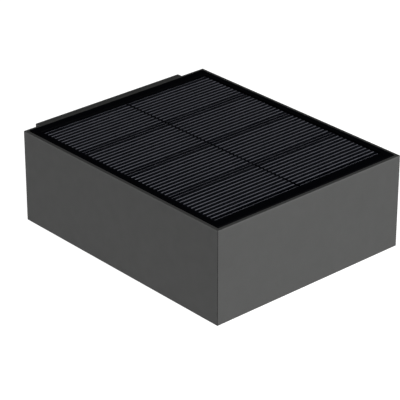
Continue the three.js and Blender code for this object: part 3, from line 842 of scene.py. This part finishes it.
def add_led(number):
    """A ceramic LED package: white frame, phosphor in a round recess, two plated ends."""
    node = f"led_{number}"
    centre, size = size_of(node)
    half = size.x / 2
    top = size.z / 2
    cup = LED_CUP_SHARE * half
    place = pointing(centre, (0, 0, -1))

    def frame_shape(shape):
        corner = half * math.sqrt(2) * LED_WIDTH_SHARE
        outside = [(corner, -top), (corner, top - 0.08 * MM), (corner * 0.96, top)]
        inside = [(cup * 1.04, top), (cup, top - 0.04 * MM), (cup * 0.9, top - LED_RECESS * 1.4)]
        cupped_block(shape, outside, inside, place)

    def phosphor_shape(shape):
        level = top - LED_RECESS
        radius = PHOSPHOR_SHARE * cup
        dome = [(radius * math.sin(t), level + PHOSPHOR_DOME * math.cos(t)) for t in quarter_turn(6)]
        base = [(radius, level - PHOSPHOR_DOME), (0, level - PHOSPHOR_DOME)]
        turned(shape, dome + base, place, sides=LED_SIDES)

    def ends_shape(shape):
        for side in (-1, 1):
            along = Vector((side * half * 0.8, 0, top - PLATING / 2))
            box(shape, centre + along, (half * 0.36, half * 1.5, PLATING), 0.02 * MM)

    built(f"led_package_{number}", "white_plastic", frame_shape)
    window = built(f"led_window_{number}", "led_phosphor", phosphor_shape)
    built(f"led_ends_{number}", "nickel", ends_shape)
    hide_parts(node)


def cupped_block(shape, outside, inside, place):
    """A square block with a round cup in its top, from (corner reach, height) and (radius, height) points."""
    angles = [2 * math.pi * i / LED_SIDES + math.pi / 4 for i in range(LED_SIDES)]
    rings = [[polar(square_reach(corner, t), t, height) for t in angles] for corner, height in outside]
    rings += [[polar(radius, t, height) for t in angles] for radius, height in inside]
    capped_skin(shape, [[shape.verts.new(place @ point) for point in ring] for ring in rings])


def square_reach(corner, angle):
    """How far a square reaches at an angle, from how far its corners reach."""
    return corner / math.sqrt(2) / max(abs(math.cos(angle)), abs(math.sin(angle)))


def add_lights():
    """The LEDs, and a soldered pad on the board beside each of their ends."""
    for number in range(1, LED_COUNT + 1):
        add_led(number)
    board, board_size = size_of("led_board")
    level = board.z - board_size.z / 2 - PAD_LIFT

    def pads(shape):
        for number in range(1, LED_COUNT + 1):
            led, led_size = size_of(f"led_{number}")
            for side in (-1, 1):
                x = led.x + side * led_size.x * PAD_REACH_SHARE
                box(shape, Vector((x, led.y, level)), PAD_SIZE, 0.04 * MM)

    built("led_board_pads", "nickel", pads)


# ---------- electronics ----------

BOARD_CENTRE, BOARD_SIZE = size_of("control_board")
BOARD_FACE = BOARD_CENTRE.z + BOARD_SIZE.z / 2
CHIPS = [(-14, 9, 5.0, 4.0), (14, -10, 5.0, 4.0), (-14, -9, 7.0, 7.0)]  # x, y, width, depth in mm
CHIP_HEIGHT = 1.5 * MM
CHIP_GAP = 0.1 * MM
LEG_PITCH = 1.27 * MM
LEG_FOOT = mm(0.42, 0.8, 0.2)
LEG_KNEE = mm(0.42, 0.3, 0.8)
RESISTORS = [(x, y) for x in (-24, -21, 7, 10) for y in (-15, -11.5, 13, 16.5)]  # x, y in mm
RESISTOR_SIZE = mm(1.1, 1.25, 0.6)
RESISTOR_END = mm(0.5, 1.35, 0.66)
CAPACITORS = [(-6, 12, 3.1), (21, 12, 3.1), (-23, 3, 2.5)]  # x, y, radius in mm
CAPACITOR_HEIGHT = 5.4 * MM
SOCKET_BASE = mm(5, 5, 0.3)
SOCKET_CHEEK = mm(1.2, 5, 3.2)
LEADS = ["panel_lead", "battery_lead", "led_lead"]


def on_board(x, y, height):
    """The middle of a part that stands on the control board, from its place in millimetres."""
    return Vector((BOARD_CENTRE.x + x * MM, BOARD_CENTRE.y + y * MM, BOARD_FACE + height / 2))


def add_chips():
    """Black chips, a little off the board on bent legs."""
    def bodies(shape):
        for x, y, width, depth in CHIPS:
            spot = on_board(x, y, CHIP_HEIGHT) + Vector((0, 0, CHIP_GAP))
            box(shape, spot, (width * MM, depth * MM, CHIP_HEIGHT), 0.15 * MM)

    def legs(shape):
        for x, y, width, depth in CHIPS:
            count = int(width * MM / LEG_PITCH)
            for index in range(count):
                along = (index - (count - 1) / 2) * LEG_PITCH
                for side in (-1, 1):
                    add_leg(shape, on_board(x, y, LEG_FOOT[2]), along, side, depth * MM / 2)

    built("board_chips", "black_plastic", bodies)
    built("board_chip_legs", "nickel", legs)


def add_leg(shape, middle, along, side, half_depth):
    """A chip's leg: a foot on the board and an upright knee between the foot and the chip."""
    foot = middle + Vector((along, side * (half_depth + 0.55 * MM), 0))
    knee = foot + Vector((0, -side * 0.42 * MM, 0.35 * MM))
    box(shape, foot, LEG_FOOT, 0.05 * MM)
    box(shape, knee, LEG_KNEE, 0.05 * MM)


def add_small_parts():
    """Resistors with plated ends, and round cans with a groove near their foot."""
    def resistors(shape):
        for x, y in RESISTORS:
            box(shape, on_board(x, y, RESISTOR_SIZE[2]), RESISTOR_SIZE, 0.06 * MM)

    def resistor_ends(shape):
        for x, y in RESISTORS:
            for side in (-1, 1):
                spot = on_board(x, y, RESISTOR_END[2]) + Vector((side * 0.75 * MM, 0, 0))
                box(shape, spot, RESISTOR_END, 0.1 * MM)

    def capacitors(shape):
        for x, y, radius in CAPACITORS:
            turned(shape, can_profile(radius * MM), Matrix.Translation(on_board(x, y, 0)))

    built("board_resistors", "black_plastic", resistors)
    built("board_resistor_ends", "nickel", resistor_ends)
    built("board_capacitors", "nickel", capacitors)


def can_profile(radius):
    """The outline of a capacitor's can, with a groove near its foot and a sunk top."""
    top = CAPACITOR_HEIGHT
    return [
        (0, 0),
        (radius, 0),
        (radius, 0.5 * MM),
        (radius * 0.94, 0.8 * MM),
        (radius, 1.1 * MM),
        (radius, top - 0.5 * MM),
        (radius * 0.93, top - 0.1 * MM),
        (radius * 0.8, top),
        (radius * 0.74, top - 0.12 * MM),
        (0, top - 0.12 * MM),
    ]


def add_sockets():
    """A small white socket round the end of each lead: a base and a cheek on either side."""
    def sockets(shape):
        for node in LEADS:
            spot = lead_end(node)
            for side in (-1, 1):
                cheek = spot + Vector((side * 1.9 * MM, 0, SOCKET_CHEEK[2] / 2))
                box(shape, cheek, SOCKET_CHEEK, 0.2 * MM)
            box(shape, spot + Vector((0, 0, SOCKET_BASE[2] / 2)), SOCKET_BASE, 0.1 * MM)

    built("board_sockets", "white_plastic", sockets)


def lead_end(node):
    """Where a lead comes down onto the control board: near the left, front or rear end of the lead's box."""
    low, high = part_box(node)
    middle = (low + high) / 2
    if node == "battery_lead":
        return Vector((low.x + 2 * MM, middle.y, BOARD_FACE))
    if node == "panel_lead":
        return Vector((middle.x, low.y + 1.5 * MM, BOARD_FACE))
    return Vector((middle.x, high.y - 1.5 * MM, BOARD_FACE))


def add_switch_details():
    """A steel cover and four legs on the tactile switch."""
    centre, size = size_of("mode_switch")
    top = centre.z + size.z / 2

    def cover(shape):
        turned(shape, [
            mm(2.1, 0),
            mm(2.9, 0),
            mm(2.9, 0.12),
            mm(2.8, 0.2),
            mm(2.2, 0.2),
            mm(2.1, 0.12),
            mm(2.1, 0),
        ], pointing((centre.x, centre.y, top - 3.5 * MM), (0, 0, -1)))

    def legs(shape):
        for x in (-3.25, 3.25):
            for y in (-2.2, 2.2):
                spot = Vector((centre.x + x * MM, centre.y + y * MM, top - 1.5 * MM))
                box(shape, spot, mm(0.3, 0.7, 3.2), 0.06 * MM)

    built("switch_cover", "steel", cover)
    built("switch_legs", "nickel", legs)


# ---------- batteries ----------

FILM_ROLL = 0.8 * MM  # the film's bend over both ends
FILM_LAP = 2.2 * MM  # how far in from the side the film reaches over both ends


def add_battery(node, out):
    """A lithium cell: shrink film rolled over both ends, a white washer and plated end faces."""
    centre, size = size_of(node)
    radius = size.z / 2
    length = size.x
    place = pointing(centre - Vector((out * length / 2, 0, 0)), (out, 0, 0))
    shoulder = length - FILM_ROLL
    seat = shoulder - 0.18 * MM

    def film(shape):
        turned(shape, film_profile(radius, shoulder), place, sides=64)

    def ends(shape):
        turned(shape, [
            (0, 0.05 * MM),
            (radius - 2.3 * MM, 0.05 * MM),
            (radius - 2.25 * MM, 0.3 * MM),
            (0, 0.3 * MM),
        ], place)
        turned(shape, [
            (0, seat),
            (3.6 * MM, seat),
            (3.1 * MM, shoulder + 0.1 * MM),
            (2.9 * MM, length - 0.2 * MM),
            (2.6 * MM, length),
            (0, length),
        ], place)

    def washer(shape):
        turned(shape, [
            (3.7 * MM, seat),
            (radius - 2.3 * MM, seat),
            (radius - 2.35 * MM, shoulder - 0.02 * MM),
            (3.75 * MM, shoulder - 0.02 * MM),
            (3.7 * MM, seat),
        ], place)

    rebuilt(node, film)
    built(node + "_ends", "nickel", ends)
    built(node + "_washer", "white_plastic", washer)


def film_profile(radius, shoulder):
    """The outline of a battery's shrink film, closed across both ends under the plated ones."""
    inner = radius - FILM_LAP
    lower = []
    upper = []
    for t in quarter_turn(6):
        lower.append((radius - FILM_ROLL * (1 - math.sin(t)), FILM_ROLL * (1 - math.cos(t))))
        upper.append((radius - FILM_ROLL * (1 - math.cos(t)), shoulder - FILM_ROLL * (1 - math.sin(t))))
    start = [(0, 0.32 * MM), (inner, 0.32 * MM), (inner, 0.05 * MM)]
    end = [(inner, shoulder), (inner, shoulder - 0.2 * MM), (0, shoulder - 0.2 * MM)]
    return start + lower + upper + end


# ---------- leads and the button ----------

BUTTON_RIM = 0.7 * MM
BUTTON_DISH = [mm(0, 0.25), mm(0.5, 0.27), mm(0.75, 0.45), mm(2, 0.4), mm(3.6, 0.16)]
FLANGE_WIDTH = 2 * MM
STEM_INSET = 5.5 * MM
SEAL_GAP = 0.3 * MM


def add_lead(node):
    """A lead's CAD mesh, welded, so that its flat strips are shaded as one round surface."""
    stand_in(node, cleaned(node))


def add_button():
    """The rubber mode button: a dished face with a raised dot, a soft rim, a flange and a stem."""
    node = "mode_button"
    centre, size = size_of(node)
    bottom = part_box(node)[0].z
    top = size.z
    flange = size.x / 2
    face = flange - FLANGE_WIDTH
    stem = flange - STEM_INSET
    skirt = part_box("button_seal")[1].z - bottom + SEAL_GAP
    rim = [(face - BUTTON_RIM * (1 - math.sin(t)), BUTTON_RIM * (1 - math.cos(t))) for t in quarter_turn(5)]

    def make(shape):
        turned(shape, BUTTON_DISH + rim + [
            (face, skirt - 0.2 * MM),
            (face + 0.2 * MM, skirt),
            (flange - 0.2 * MM, skirt),
            (flange, skirt + 0.2 * MM),
            (flange, skirt + 0.8 * MM),
            (flange - 0.2 * MM, skirt + 1 * MM),
            (stem + 0.4 * MM, skirt + 1 * MM),
            (stem, skirt + 1.4 * MM),
            (stem, top - 0.3 * MM),
            (stem - 0.3 * MM, top),
            (0, top),
        ], pointing((centre.x, centre.y, bottom), (0, 0, 1)), sides=64)

    rebuilt(node, make)


# ---------- the whole light ----------

CELL_EDGE = 0.06 * MM
BACKING_EDGE = 0.15 * MM
EDGE_RADII = {  # in millimetres
    "housing": 0.25,
    "wall_bracket": 0.25,
    "hanger_plate": 0.2,
    "chassis": 0.3,
    "bottom_cover": 0.3,
    "panel_frame": 0.2,
    "panel_sheet": 0.08,
    "panel_gasket": 0.2,
    "cover_gasket": 0.3,
    "diffuser": 0.3,
    "diffuser_gasket": 0.15,
    "reflector": 0.3,
    "led_board": 0.15,
    "electronics_tray": 0.3,
    "battery_box": 0.4,
    "battery_contact_left": 0.12,
    "battery_contact_right": 0.12,
    "control_board": 0.12,
    "mode_switch": 0.15,
    "button_seal": 0.15,
}


def add_pieces():
    """Every piece of the light, so that no plain CAD node is left in sight."""
    for node, radius in EDGE_RADII.items():
        finished(node, radius * MM)
    finished("panel_backing", BACKING_EDGE, material=BOARD)
    for number in range(1, CELL_COUNT + 1):
        finished(f"solar_cell_{number}", CELL_EDGE, segments=2)
    add_fingers()
    add_fasteners()
    add_lights()
    add_chips()
    add_small_parts()
    add_sockets()
    add_switch_details()
    add_battery("battery_front", -1)
    add_battery("battery_rear", 1)
    for node in LEADS:
        add_lead(node)
    add_button()


add_studio()
add_pieces()
